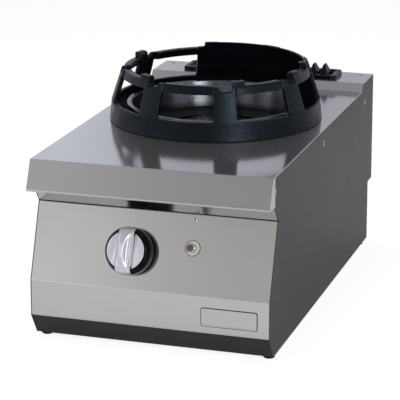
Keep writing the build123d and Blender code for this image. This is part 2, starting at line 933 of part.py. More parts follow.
def injector():
    """Threaded through its holder, with the hexagon in front and the nozzle behind."""
    front = injector_y - holder_thickness
    brass = rod_along_y(injector_radius, front, injector_y + injector_shank, mixing_z)
    place = Pos(0, front, mixing_z) * Rot(90, 0, 0)
    brass += place * hexagon(injector_across, 0, injector_hexagon)
    nose_start = injector_y + injector_shank
    brass += rod_along_y(injector_nose_radius, nose_start, nose_start + injector_nose, mixing_z)
    return brass - rod_along_y(injector_bore, 0, through, mixing_z)


def air_shutter():
    """A loose plate on the injector that sets how much air enters the mixing tube."""
    front = injector_y + coil_gap
    ring = rod_along_y(mixing_radius, front, front + shutter_thickness, mixing_z)
    return ring - rod_along_y(injector_radius + seam / 2, 0, through, mixing_z)


# ---- gas valve, in the frame of the knob's axis ----
def valve_screw_places():
    return [knob_axis * Pos(side * valve_screw_reach, 0, 0) for side in (-1, 1)]


def valve_body():
    """Housing with the inlet below, the burner's outlet above and the pilot's at its side."""
    body = disc(valve_flange_radius, flange_back, panel_back)
    body += disc(valve_radius, valve_end, flange_back)
    for turn in (0, 90, 180):
        port = Pos(0, 0, port_depth) * Rot(0, 0, turn) * Rot(90, 0, 0)
        body += port * disc(port_radius, valve_radius - port_root, valve_radius + port_stub)
        body -= port * disc(port_bore, valve_radius - port_stub, valve_radius + 2 * port_stub)
    body -= disc(stem_radius + stem_clearance, plug_top, knob_face_z)
    body -= disc(spring_chamber_radius, spring_end, spring_top)
    body -= disc(plug_radius + plug_clearance, plug_top - plug_length - seat_gap, plug_top + seat_gap)
    for side in (-1, 1):
        screw_hole = disc(screw_radius, flange_back - valve_screw_length, 0, side * valve_screw_reach)
        body -= screw_hole
    return knob_axis * body


def valve_screws():
    screw = disc(small_head_radius, 0, small_head) + disc(screw_radius - coil_gap, -valve_screw_length, 0)
    return [place * screw for place in valve_screw_places()]


def valve_stem():
    high = knob_face_z - stem_cap
    round_end = plug_top + push_travel + drive_shoulder
    square_end = round_end - drive_depth - push_travel
    stem = disc(stem_radius, round_end, high)
    half_square = drive_square / 2
    stem += block(-half_square, half_square, -half_square, half_square, square_end, round_end)
    stem += disc(stem_collar_radius, stem_collar_z - stem_collar, stem_collar_z)
    return knob_axis * Rot(0, 0, -knob_lean) * stem


def spring_seat():
    """The washer between the spring and the stem's collar; it moves in but doesn't turn."""
    seat = disc(spring_chamber_radius - seat_gap, spring_seat_z - spring_seat_thickness, spring_seat_z)
    return knob_axis * (seat - disc(stem_radius + stem_clearance, plug_top, panel_back))


def valve_spring():
    high = spring_seat_z - spring_seat_thickness - coil_gap
    return coil(spring_radius, spring_wire, spring_end + coil_gap, high, spring_turns, knob_axis)


def valve_plug():
    plug = disc(plug_radius, plug_top - plug_length, plug_top)
    hole = drive_square / 2 + drive_clearance
    plug -= block(-hole, hole, -hole, hole, plug_top - drive_depth - push_travel, plug_top + plug_length)
    across = Pos(0, 0, plug_top - plug_length * 0.75) * Rot(90, 0, 0)
    plug -= across * Cylinder(plug_port, 4 * plug_radius)
    return knob_axis * Rot(0, 0, -knob_lean) * plug


# ---- knob ----
def knob_body():
    low = knob_gap
    wall = knob_wall
    shell = turned([
        (0, low + hub_start), (0, knob_face_z), *reversed(knob_shoulder_cone()),
        (knob_radius, low), (knob_radius - wall, low),
        (knob_radius - wall, knob_rim_z - wall), (knob_face_radius - wall, knob_face_z - wall),
        (hub_radius, knob_face_z - wall), (hub_radius, low + hub_start),
    ])
    shell -= disc(stem_radius, 0, knob_face_z - stem_cap)
    return knob_axis * Rot(0, 0, -knob_lean) * shell


def knob_shoulder_cone():
    """The sloping ring between the knob's skirt and its silver face."""
    return [(knob_radius, knob_rim_z), (knob_face_radius + knob_wall / 2, knob_face_z)]


def knob_face():
    """The silver face with an arched grip across it that runs down over the shoulder."""
    low = knob_face_z
    foot = low + knob_face_thickness
    face = disc(knob_face_radius, low, foot)
    reach = knob_radius - grip_inset
    end_z = knob_rim_z + grip_end_rise
    arch = make_face(Plane.YZ * (
        Polyline((reach, end_z), (reach, knob_rim_z), (-reach, knob_rim_z), (-reach, end_z))
        + ThreePointArc((-reach, end_z), (0, foot + grip_rise), (reach, end_z))
    ))
    grip = along_x(arch, -grip_left, grip_right) & disc(reach, knob_rim_z, low + knob_radius)
    grip -= turned([(0, knob_rim_z), *knob_shoulder_cone(), (0, low)])
    return knob_axis * Rot(0, 0, -knob_lean) * (face + grip)


def knob_pointer():
    low = knob_face_z + knob_face_thickness
    half_width = pointer_width / 2
    across = grip_right + pointer_width
    strip = block(across - half_width, across + half_width, -pointer_length / 2, pointer_length / 2,
                  low, low + pointer_rise)
    return knob_axis * Rot(0, 0, -knob_lean) * strip


# ---- piezo igniter, in the frame of its button ----
def piezo_bezel():
    ring = disc(piezo_bezel_radius, 0, piezo_bezel_height)
    ring += disc(piezo_collar_radius, -piezo_thread, piezo_collar_height)
    ring -= disc(piezo_button_radius + piezo_clearance, -through, through)
    return piezo_axis * ring


def piezo_nut():
    nut = hexagon(piezo_nut_across, panel_back - piezo_nut_thickness, panel_back)
    return piezo_axis * (nut - disc(piezo_collar_radius, -through, through))


def piezo_body():
    high = -piezo_thread
    body = disc(piezo_body_radius, piezo_body_end, high)
    body -= disc(piezo_button_radius + piezo_clearance, high - piezo_chamber, through)
    body += disc(piezo_tail_radius, piezo_body_end - piezo_tail, piezo_body_end)
    return piezo_axis * body


def piezo_button():
    button = disc(piezo_button_radius, piezo_button_end, piezo_button_proud)
    button = chamfer(button.edges().sort_by(Axis.Z)[-1], piezo_button_bevel)
    return piezo_axis * button


def piezo_spring():
    low = -piezo_thread - piezo_chamber + coil_gap
    high = piezo_button_end - coil_gap
    return coil(piezo_spring_radius, piezo_spring_wire, low, high, piezo_spring_turns, piezo_axis)


# ---- gas pipes ----
def gas_inlet():
    """A threaded nipple through the rear panel, held by a flange inside it."""
    inside = back_wall - sheet - inlet_flange
    tail_end = inside - inlet_tail
    inlet = rod_along_y(inlet_flange_radius, inside, back_wall - sheet, inlet_height)
    inlet += rod_along_y(inlet_shoulder_radius, tail_end, back_wall + nut_thickness, inlet_height)
    inlet += rod_along_y(inlet_radius, back_wall, back_wall + inlet_length, inlet_height)
    inlet -= rod_along_y(inlet_bore, 0, through + depth, inlet_height)
    return Pos(inlet_x, 0, 0) * inlet


def inlet_locknut():
    nut = Pos(inlet_x, back_wall, inlet_height) * Rot(-90, 0, 0) * hexagon(nut_across, 0, nut_thickness)
    hole = rod_along_y(inlet_shoulder_radius, 0, through + depth, inlet_height)
    return nut - Pos(inlet_x, 0, 0) * hole


def supply_pipe():
    """From the inlet forward along the right side, across, and up to the valve."""
    start_y = back_wall - sheet - inlet_flange - inlet_tail
    port = -valve_radius - port_stub
    below = frame_point(knob_plane, 0, port - pipe_drop, port_depth)
    points = [
        (inlet_x, start_y, inlet_height), (inlet_x, below[1], inlet_height),
        (knob_x, below[1], inlet_height), below, frame_point(knob_plane, 0, port, port_depth),
    ]
    return tube_along(points, pipe_radius, pipe_wall, [22, 16, 10])


def pipe_clips():
    """Bent straps on the base pan that carry the supply pipe."""
    clips = []
    low = floor_pan + sheet
    half_clip = clip_width / 2
    for reach in clip_reach:
        y = burner_y + reach
        strap = block(inlet_x - half_clip, inlet_x + half_clip, y - clip_length / 2,
                      y + clip_length / 2, low, inlet_height)
        strap -= block(inlet_x - half_clip + clip_wall, inlet_x + half_clip - clip_wall,
                       y - clip_length, y + clip_length, low + clip_head, inlet_height - clip_head)
        pipe = rod_along_y(pipe_radius, y - clip_length, y + clip_length, inlet_height)
        clips.append(strap - Pos(inlet_x, 0, 0) * pipe)
    return clips


def feed_pipe():
    """From the valve's upper port to the injector."""
    port = valve_radius + port_stub
    out = frame_point(knob_plane, 0, port + tube_rise, port_depth)
    end = injector_y - holder_thickness - injector_hexagon
    points = [
        frame_point(knob_plane, 0, port, port_depth), out, (knob_x, out[1], mixing_z),
        (0, out[1] + tube_offset, mixing_z), (0, end, mixing_z),
    ]
    return tube_along(points, tube_radius, tube_wall, [6, 14, 14])


# ---- pilot flame, flame sensor and spark ----
def pilot_place(angle):
    """A spot beside the burner head, at an angle counted from the front towards +X."""
    turn = math.radians(angle)
    return (pilot_ring * math.sin(turn), burner_y - pilot_ring * math.cos(turn))


def pilot_bracket():
    edge = pilot_ring + pilot_shelf_margin
    shelf = sector(
        [(chamber_radius, 0), (edge, 0), (edge, pilot_shelf_sheet), (chamber_radius, pilot_shelf_sheet)],
        pilot_angle - pilot_shelf_sweep / 2, pilot_shelf_sweep,
    )
    tongue_edge = chamber_radius + pilot_shelf_sheet
    tongue = sector(
        [(chamber_radius, -pilot_tongue_drop), (tongue_edge, -pilot_tongue_drop),
         (tongue_edge, pilot_shelf_sheet / 2), (chamber_radius, pilot_shelf_sheet / 2)],
        pilot_angle - pilot_tongue_sweep / 2, pilot_tongue_sweep,
    )
    bracket = Pos(0, burner_y, pilot_shelf) * (shelf + tongue)
    for angle, radius in (
        (pilot_angle, pilot_burner_radius), (pilot_angle - pilot_step, lead_radius),
        (pilot_angle + pilot_step, electrode_radius),
    ):
        x, y = pilot_place(angle)
        bracket -= disc(radius, pilot_shelf - pilot_tongue_drop, chamber_top, x, y)
    return bracket


def pilot_burner():
    x, y = pilot_place(pilot_angle)
    low = pilot_shelf - pilot_burner_foot
    high = head_top - pilot_burner_drop
    bore_top = high - pilot_vent_drop / 2
    barrel = disc(pilot_burner_radius, low, high, x, y) - disc(pilot_radius, 0, bore_top, x, y)
    vent = Pos(x, y, high - pilot_vent_drop) * Rot(90, 0, pilot_angle)
    return barrel - vent * Cylinder(pilot_vent_radius, 4 * pilot_burner_radius)


def pilot_pipe():
    """From the valve's side port to the pilot burner."""
    start = frame_point(knob_plane, valve_radius + port_stub, 0, port_depth)
    x, y = pilot_place(pilot_angle)
    run_z = pilot_shelf - pilot_pipe_drop
    points = [
        start, (start[0] + pilot_run, start[1], start[2]), (x, start[1] + pilot_rise, run_z),
        (x, y, run_z), (x, y, pilot_shelf - pilot_burner_foot),
    ]
    return tube_along(points, pilot_radius, pilot_wall, wire_bend)


def thermocouple():
    """The flame sensor's rod and its lead to the valve's rear end."""
    x, y = pilot_place(pilot_angle - pilot_step)
    run_z = pilot_shelf - sensor_line_drop
    points = [
        frame_point(knob_plane, 0, 0, valve_end), frame_point(knob_plane, 0, 0, valve_end - wire_start),
        (x, mouth_back + sensor_back, run_z), (x, y, run_z), (x, y, head_top - sensor_drop),
    ]
    return tube_along(points, lead_radius, 0, wire_bend)


def spark_electrode():
    x, y = pilot_place(pilot_angle + pilot_step)
    ceramic = disc(electrode_radius, pilot_shelf - electrode_half, pilot_shelf + electrode_half, x, y)
    return ceramic + disc(electrode_wire, pilot_shelf, head_top - electrode_drop, x, y)


def ignition_lead():
    x, y = pilot_place(pilot_angle + pilot_step)
    run_z = pilot_shelf - spark_line_drop
    low = piezo_body_end - piezo_tail
    points = [
        frame_point(piezo_plane, 0, 0, low), frame_point(piezo_plane, 0, 0, low - wire_start),
        (x, mouth_back + spark_back, run_z), (x, y, run_z), (x, y, pilot_shelf - electrode_half),
    ]
    return tube_along(points, wire_radius, 0, wire_bend)


# ---- flue grate ----
def flue_grate():
    """A cast frame with ribs that rise to pyramid teeth, and a lug that drops into the slot."""
    long_in = grate_length - 2 * grate_bar
    wide_in = grate_width - 2 * grate_bar
    inside = RectangleRounded(long_in, wide_in, grate_inner_corner)
    frame = extrude(RectangleRounded(grate_length, grate_width, grate_corner), grate_height)
    frame = chamfer(frame.faces().sort_by(Axis.Z)[-1].edges(), grate_bevel)
    frame -= Pos(0, 0, -grate_height) * extrude(inside, 3 * grate_height)
    lug = extrude(inside, grate_lug + grate_height / 2)
    lug -= extrude(Rectangle(long_in - 2 * grate_lug_wall, wide_in - 2 * grate_lug_wall), through)
    frame += Pos(0, 0, -grate_lug) * lug
    count = int(long_in / grate_pitch)
    for index in range(count):
        x = (index - (count - 1) / 2) * grate_pitch
        frame += block(x - grate_rib / 2, x + grate_rib / 2, -wide_in / 2 - 1, wide_in / 2 + 1,
                       0, grate_height - 1)
        base_z = grate_height - grate_tooth_root
        base = Pos(x, 0, base_z) * Rectangle(grate_tooth_width, grate_tooth_length)
        tip = Pos(x, 0, grate_height + grate_tooth_rise) * Rectangle(grate_tip_width, grate_tip_length)
        frame += loft([base, tip])
    return Pos(0, grate_y, cover_top + seat_gap) * frame


# ---- all nodes ----
nodes = {
    "worktop": [worktop()],
    "worktop_stiffeners": worktop_stiffeners(),
    "burner_collar": [burner_collar()],
    "flue_cover": [flue_cover()],
    "left_side_panel": [side_panel(-1)],
    "right_side_panel": [side_panel(1)],
    "recess_panel": [recess_panel()],
    "control_panel": [control_panel()],
    "kick_panel": [kick_panel()],
    "base_pan": [base_pan()],
    "rear_panel": [rear_panel()],
    "rear_screws": rear_screws(),
    "joining_inserts": joining_inserts(),
    "feet": feet(),
    "foot_screws": foot_screws(),
    "badge_plate": [badge_plate()],
    "wok_ring": [wok_ring()],
    "spill_bowl": [spill_bowl()],
    "burner_head": [burner_head()],
    "burner_cap": [burner_cap()],
    "burner_body": [burner_body()],
    "burner_support": [burner_support()],
    "burner_bolts": burner_bolts(),
    "injector_holder": [injector_holder()],
    "injector": [injector()],
    "air_shutter": [air_shutter()],
    "valve_body": [valve_body()],
    "valve_screws": valve_screws(),
    "valve_stem": [valve_stem()],
    "spring_seat": [spring_seat()],
    "valve_spring": [valve_spring()],
    "valve_plug": [valve_plug()],
    "knob_body": [knob_body()],
    "knob_face": [knob_face()],
    "knob_pointer": [knob_pointer()],
    "piezo_bezel": [piezo_bezel()],
    "piezo_nut": [piezo_nut()],
    "piezo_body": [piezo_body()],
    "piezo_button": [piezo_button()],
    "piezo_spring": [piezo_spring()],
    "gas_inlet": [gas_inlet()],
    "inlet_locknut": [inlet_locknut()],
    "supply_pipe": [supply_pipe()],
    "pipe_clips": pipe_clips(),
    "feed_pipe": [feed_pipe()],
    "pilot_bracket": [pilot_bracket()],
    "pilot_burner": [pilot_burner()],
    "pilot_pipe": [pilot_pipe()],
    "thermocouple": [thermocouple()],
    "spark_electrode": [spark_electrode()],
    "ignition_lead": [ignition_lead()],
    "flue_grate": [flue_grate()],
}

whole = Compound(children=[Compound(children=solids) for solids in nodes.values()])
box = whole.bounding_box()
to_origin = Pos(-(box.min.X + box.max.X) / 2, -(box.min.Y + box.max.Y) / 2, -box.min.Z)

os.makedirs("parts", exist_ok=True)
for name, solids in nodes.items():
    placed = [solid for piece in solids for solid in (to_origin * piece).solids()]
    export_step(Compound(children=placed), "parts/" + name + ".step")

print("box", box.size, "moved by", to_origin.position)
print("panel normal", panel_face.z_dir, "knob", knob_plane.origin, "igniter", piezo_plane.origin)
print("burner y", burner_y, "chamber low", chamber_low, "mixing z", mixing_z, "head", head_top)
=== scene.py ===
import json
import math

import bmesh
import bpy
from mathutils import Matrix, Vector


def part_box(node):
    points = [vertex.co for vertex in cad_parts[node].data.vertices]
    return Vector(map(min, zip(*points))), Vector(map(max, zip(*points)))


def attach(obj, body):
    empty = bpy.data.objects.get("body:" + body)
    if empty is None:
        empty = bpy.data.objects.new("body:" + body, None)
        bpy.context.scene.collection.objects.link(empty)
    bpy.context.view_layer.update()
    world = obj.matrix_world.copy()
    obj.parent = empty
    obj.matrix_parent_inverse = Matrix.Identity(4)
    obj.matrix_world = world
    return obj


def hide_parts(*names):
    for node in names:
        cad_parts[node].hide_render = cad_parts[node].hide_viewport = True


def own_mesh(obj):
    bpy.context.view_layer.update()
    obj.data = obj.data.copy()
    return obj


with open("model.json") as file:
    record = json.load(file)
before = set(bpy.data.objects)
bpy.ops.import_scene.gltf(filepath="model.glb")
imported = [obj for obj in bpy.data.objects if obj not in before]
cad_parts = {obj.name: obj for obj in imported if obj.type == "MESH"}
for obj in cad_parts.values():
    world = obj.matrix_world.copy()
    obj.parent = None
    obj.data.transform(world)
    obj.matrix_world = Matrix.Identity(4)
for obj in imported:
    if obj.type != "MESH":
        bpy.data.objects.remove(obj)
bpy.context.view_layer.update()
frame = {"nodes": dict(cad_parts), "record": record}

# Looks of a table-top wok range. Metres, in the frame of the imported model: X is the width,
# the front faces -Y, Z is up from the floor. mm is one millimetre.
mm = 0.001
across = Vector((1, 0, 0))

# ---- the photograph's view ----
view_azimuth = math.radians(17.862)
view_elevation = math.radians(16.780)
view_roll = math.radians(-0.3055)
view_place = Vector((0.96639, -3.065021, 1.12545))
view_lens = 175.18
view_near = 0.1
view_far = 60

# ---- the slanted control panel, from the knob's axis ----
joints = {joint["name"]: joint for joint in frame["record"]["behaviour"]["joints"]}
panel_origin = Vector(joints["knob_turn"]["pos_m"])
panel_normal = Vector(joints["knob_turn"]["axis"])

# ---- cast pieces: voxel size and smoothing passes of each mould ----
ring_voxel, ring_passes = 1.25 * mm, 4
grate_voxel, grate_passes = 0.9 * mm, 3
head_voxel, head_passes = 0.7 * mm, 2

# ---- knob's black skirt, heights from the panel's face ----
knob_lean = math.radians(1.0)
knob_radius = 38 * mm
knob_gap = 4.6 * mm
knob_rim = 22 * mm
knob_shoulder = 31.4 * mm
knob_wall = 2.6 * mm
hub_radius = 9 * mm
hub_recess = 4 * mm            # the hub's end lies this far inside the skirt's mouth
rim_bevel = 1 * mm
rim_rise = 0.8 * mm
neck_inset = 4.4 * mm          # the skirt narrows by this towards its shoulder
neck_drop = 2.2 * mm
neck_edge = 0.9 * mm
shoulder_inset = 5.2 * mm
skirt_round = 0.5 * mm
skirt_segments = 160

# ---- knob's silver face, in a shallow seat in the shoulder ----
knob_face_radius = 30.7 * mm
knob_face_top = 33 * mm
seat_mouth = 0.5 * mm
seat_clearance = 0.3 * mm
seat_depth = 0.6 * mm
face_root = 1 * mm             # the silver parts start this far under the shoulder
face_bevel = 0.6 * mm
face_gap = 0.7 * mm
just_inside = 0.9999           # a cut this near the disc's edge still has two sides

# ---- knob's grip ----
knob_crest = 41 * mm
grip_reach = 37.4 * mm
grip_end = 25 * mm
grip_slope_start = 44.3 * mm   # its back slopes straight down on both sides of the crest
grip_slope = 0.368
grip_left = -14 * mm
grip_right = 11 * mm
grip_foot_rise = 0.2 * mm
grip_edge_rise = 1.2 * mm
grip_edge_round = 0.4 * mm
grip_edge_step = 0.15 * mm
ridge_middle = -2.2 * mm       # the crest bows away from the pointer
ridge_bow = 12.5 * mm
ridge_span = 33 * mm
ridge_round = 0.5 * mm
ridge_drop = 0.25 * mm
scoop_width = 4.5 * mm
scoop_rise = 0.2 * mm
scoop_steepness = 0.8
scoop_hollow = 1.6
hair = 0.1 * mm                # a small step kept between neighbouring lines of the grip
grip_rows = 64
slope_steps = 12
scoop_steps = 5
grip_smooth_degrees = 40

# ---- knob's rib and pointer ----
rib_across = 6.2 * mm
rib_length = 41 * mm
rib_rise = 1.7 * mm
pointer_across = 12.3 * mm
pointer_length = 48 * mm
pointer_rise = 1 * mm
strip_width = 1.3 * mm
strip_corner = 0.6 * mm
strip_bevel = 0.25 * mm

# ---- igniter, heights from the panel's face ----
bezel_radius = 12.6 * mm
bezel_height = 2.4 * mm
bezel_back = 0.5 * mm
bezel_edge = 1.4 * mm
bezel_inset = 0.9 * mm
bezel_slope = 1 * mm
bezel_lap = 1 * mm             # its inner edge reaches this far into the collar
gasket_height = 0.9 * mm
collar_radius = 7.6 * mm
collar_height = 15 * mm
collar_tail = 14 * mm
collar_bevel = 0.8 * mm
collar_mouth = 0.5 * mm
collar_mouth_depth = 0.6 * mm
button_radius = 4.9 * mm
button_proud = 19 * mm
button_tail = 22 * mm
button_clearance = 0.06 * mm
button_bevel = 0.8 * mm
button_edge = 0.9 * mm
button_dish = 0.4 * mm
button_round = 0.5 * mm
button_segments = 72
igniter_round = 0.3 * mm
igniter_segments = 96

# ---- sight hole, from the knob's axis ----
sight_across = 99 * mm
sight_above = 58.5 * mm
sight_radius = 2 * mm
sight_wall = 0.6 * mm
sight_clearance = 0.1 * mm
sight_tail = 1 * mm
sight_lip = 1.2 * mm
sight_lip_edge = 0.5 * mm
sight_crown = 0.9 * mm
sight_round = 0.2 * mm
sight_segments = 48

# ---- spill bowl ----
bowl_sheet = 1.5 * mm
bowl_flange = 7.5 * mm
bowl_skirt = 6 * mm
bowl_lean = 5 * mm
bowl_fall = 2.5 * mm
bowl_round = 2 * mm
bowl_segments = 192
hole_margin = 18 * mm
painted_shade_from, painted_shade_to = 4 * mm, 14 * mm   # painted shade fades out upwards between these heights

# ---- name plate ----
band_slope = 1.5 / 60          # the band leans out by this much for each unit down
plate_corner = 3 * mm
# the plate's dark rim is painted shade, a black ring for the shade along the plate's edge
plate_shade_rim = 1.1 * mm
shade_rim_lap = 1 * mm
shade_rim_back = 0.5 * mm
shade_rim_rise = 0.2 * mm
shade_rim_top_share = 0.7

# ---- gas inlet ----
inlet_thread_radius = 10.48 * mm
inlet_shoulder_radius = 12 * mm
inlet_bore = 7 * mm
flange_back = 5.5 * mm         # the flange's two sides, inward from the nut's inner face
flange_front = 1.5 * mm
thread_pitch = 1.814 * mm
thread_depth = 1.1 * mm
thread_margin = 1 * mm
thread_crest = (0.4, 0.6)      # shares of the pitch between which the thread is at full radius
mouth_chamfer = 1.6 * mm
bore_chamfer = 0.6 * mm
nut_corner = 1.13              # limits on the radius, as shares of half the width across flats
nut_chamfer = 0.97
nut_sides = 6
nut_smooth_degrees = 25
inlet_segments = 96

# ---- rubber feet ----
foot_radius = 9.5 * mm
foot_bevel = 1.2 * mm
foot_hole = 4.3 * mm
foot_shank = 2.4 * mm
foot_seat = 4 * mm
foot_neck = 0.6 * mm
foot_neck_from, foot_neck_to = 1.5 * mm, 1.2 * mm
foot_round = 0.4 * mm
foot_segments = 64

# ---- surfaces: detail per metre ----
handling_clouds = 6.0
paint_clouds = 14.0
iron_grains = 900.0
iron_patches = 60.0
bowl_waves = 45.0
bowl_rings = (6, 6, 500)
floor_clouds = 2.0

# ---- studio: (direction, level) stops, and levels ----
room_heights = ((0.0, 0.92), (0.32, 0.96), (0.345, 1.1), (0.395, 0.72), (0.5, 0.68), (0.9, 0.66))
room_sides = ((0.32, 1.0), (0.35, 0.64), (0.62, 0.64), (0.8, 1.0))
room_front_tint = (1.0, 0.98, 0.98)
room_back_tint = (0.93, 0.95, 1.03)
room_turn = 0.1                # the tint changes within this much of straight sideways
glare_level = 0.8
glare_full, glare_none = 0.2, 0.3
ambient_level = 0.3
floor_reach = 12
floor_glow = 0.84
floor_shadow = 0.3
floor_gloss_share = 0.2


# ---- shares used by the mesh helpers ----
corner_share = 0.45            # the most of a run that one rounded corner takes
bevel_share = 0.3              # a bevel has two steps, and the first goes in by this share of it


# ---- materials ----
def finish(name, **sockets):
    """A new material, its node tree and its shader, with plain values set on the shader."""
    made = bpy.data.materials.new(name)
    made.use_nodes = True
    shader = made.node_tree.nodes["Principled BSDF"]
    for socket, value in sockets.items():
        shader.inputs[socket.replace("_", " ")].default_value = value
    return made, made.node_tree, shader


def add(tree, kind, inputs=(), **settings):
    """A new node with its inputs linked or set."""
    made = tree.nodes.new("ShaderNode" + kind)
    for name, value in settings.items():
        setattr(made, name, value)
    for socket, value in dict(inputs).items():
        if isinstance(value, bpy.types.NodeSocket):
            tree.links.new(value, made.inputs[socket])
        else:
            made.inputs[socket].default_value = value
    return made


def object_noise(tree, scale, stretch=(1, 1, 1), detail=3.0, rough=0.55):
    """Noise in the object's own metres, stretched along its axes."""
    place = add(tree, "TexCoord").outputs["Object"]
    mapped = add(tree, "Mapping", {"Vector": place, "Scale": stretch}).outputs["Vector"]
    inputs = {"Vector": mapped, "Scale": scale, "Detail": detail, "Roughness": rough}
    return add(tree, "TexNoise", inputs).outputs["Fac"]


def remap(tree, value, low, high, from_low=0.3, from_high=0.7):
    """A value stretched from one range to another, and held at its ends."""
    inputs = {"Value": value, "From Min": from_low, "From Max": from_high,
              "To Min": low, "To Max": high}
    return add(tree, "MapRange", inputs).outputs["Result"]


def combine(tree, kind, first, second):
    """Two values joined by an arithmetic step."""
    return add(tree, "Math", {0: first, 1: second}, operation=kind).outputs[0]


def blend_color(tree, share, first, second):
    """A colour between two, each one linked or plain."""
    mixed = add(tree, "Mix", data_type="RGBA")
    for index, value in ((0, share), (6, first), (7, second)):
        if isinstance(value, bpy.types.NodeSocket):
            tree.links.new(value, mixed.inputs[index])
        else:
            mixed.inputs[index].default_value = value if index == 0 else (*value, 1)
    return mixed.outputs[2]


def multiply_color(tree, first, second):
    """The product of two linked colours."""
    inputs = {0: 1.0, 6: first, 7: second}
    return add(tree, "Mix", inputs, data_type="RGBA", blend_type="MULTIPLY").outputs[2]


def shade(color, factor):
    """A colour made darker or lighter."""
    return tuple(min(1.0, part * factor) for part in color)


def bumped(tree, shader, height, strength, distance):
    """Relief on a shader from a height."""
    bump = add(tree, "Bump", {"Height": height, "Strength": strength, "Distance": distance})
    tree.links.new(bump.outputs["Normal"], shader.inputs["Normal"])


def brushed(name, color, roughness, grain, contrast=0.03, spread=0.02, clouding=0.05,
            metallic=1.0, edge=1.0):
    """Brushed sheet metal: fine lines along one axis under faint cloudy handling marks."""
    made, tree, shader = finish(name, Metallic=metallic, Specular_Tint=(edge, edge, edge, 1))
    lines = object_noise(tree, 1.0, grain, detail=4.0, rough=0.7)
    clouds = object_noise(tree, handling_clouds, detail=3.0)
    tone = blend_color(tree, remap(tree, lines, 0, 1), shade(color, 1 - contrast),
                       shade(color, 1 + contrast))
    tone = blend_color(tree, remap(tree, clouds, 0, 1), tone, shade(color, 1 - clouding))
    tree.links.new(tone, shader.inputs["Base Color"])
    worn = combine(tree, "ADD", remap(tree, lines, -spread, spread),
                   remap(tree, clouds, roughness - spread, roughness + spread))
    tree.links.new(worn, shader.inputs["Roughness"])
    bumped(tree, shader, lines, strength=0.02, distance=0.1 * mm)
    return made


def cast_iron(name, color, speckle):
    """Enamelled cast iron: satin orange-peel skin, light specks, wear and painted highlight on edges.
    """
    made, tree, shader = finish(name, Specular_IOR_Level=0.16, Specular_Tint=(0.62, 0.8, 1.0, 1))
    grains = object_noise(tree, iron_grains, detail=2.0)
    patches = object_noise(tree, iron_patches, detail=4.0)
    edges = add(tree, "NewGeometry").outputs["Pointiness"]
    specks = remap(tree, grains, 0, 0.5, from_low=0.58, from_high=0.75)
    # paler edges: partly wear, partly a painted highlight for the bright lines reflections draw on
    # edges
    edge_wear_and_highlight = remap(tree, edges, 0, 0.8, from_low=0.53, from_high=0.6)
    tone = blend_color(tree, specks, color, speckle)
    tone = blend_color(tree, edge_wear_and_highlight, tone, shade(speckle, 2.2))
    tree.links.new(tone, shader.inputs["Base Color"])
    tree.links.new(remap(tree, patches, 0.2, 0.4), shader.inputs["Roughness"])
    bumped(tree, shader, combine(tree, "ADD", grains, patches), strength=0.35, distance=0.4 * mm)
    return made


def painted(name, color, roughness, grain=350.0, bump=0.1, metallic=0.0, gloss=0.5):
    """Paint, plating, plastic or rubber with a fine skin and slight unevenness."""
    made, tree, shader = finish(name, Metallic=metallic, Specular_IOR_Level=gloss)
    skin = object_noise(tree, grain, detail=2.0)
    clouds = object_noise(tree, paint_clouds, detail=4.0)
    tone = blend_color(tree, remap(tree, clouds, 0, 1), shade(color, 0.92), shade(color, 1.06))
    tree.links.new(tone, shader.inputs["Base Color"])
    tree.links.new(remap(tree, skin, roughness - 0.06, roughness + 0.06),
                   shader.inputs["Roughness"])
    bumped(tree, shader, skin, strength=bump, distance=0.2 * mm)
    return made


def bowl_finish(name, color):
    """Grey metallic enamel, fired glossy, wavy, faintly ringed, with painted shade at the bottom."""
    made, tree, shader = finish(name, Metallic=1.0, Anisotropic=0.8, Anisotropic_Rotation=0.25)
    waves = object_noise(tree, bowl_waves, detail=2.0)
    rings = object_noise(tree, 1.0, bowl_rings, detail=3.0, rough=0.7)
    tone = blend_color(tree, remap(tree, rings, 0, 1), shade(color, 0.75), shade(color, 1.2))
    height = add(tree, "SeparateXYZ", {0: add(tree, "TexCoord").outputs["Object"]}).outputs["Z"]
    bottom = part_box("spill_bowl")[0].z
    # painted shade: the colour goes nearly black towards the bowl's floor, which lies in shadow
    painted_shade = remap(tree, height, 0.92, 0, bottom + painted_shade_from, bottom + painted_shade_to)
    tone = blend_color(tree, painted_shade, tone, shade(color, 0.05))
    tree.links.new(tone, shader.inputs["Base Color"])
    tree.links.new(remap(tree, waves, 0.22, 0.34), shader.inputs["Roughness"])
    spun = add(tree, "Tangent", direction_type="RADIAL", axis="Z")
    tree.links.new(spun.outputs["Tangent"], shader.inputs["Tangent"])
    bumped(tree, shader, combine(tree, "ADD", rings, waves), strength=0.08, distance=0.3 * mm)
    return made


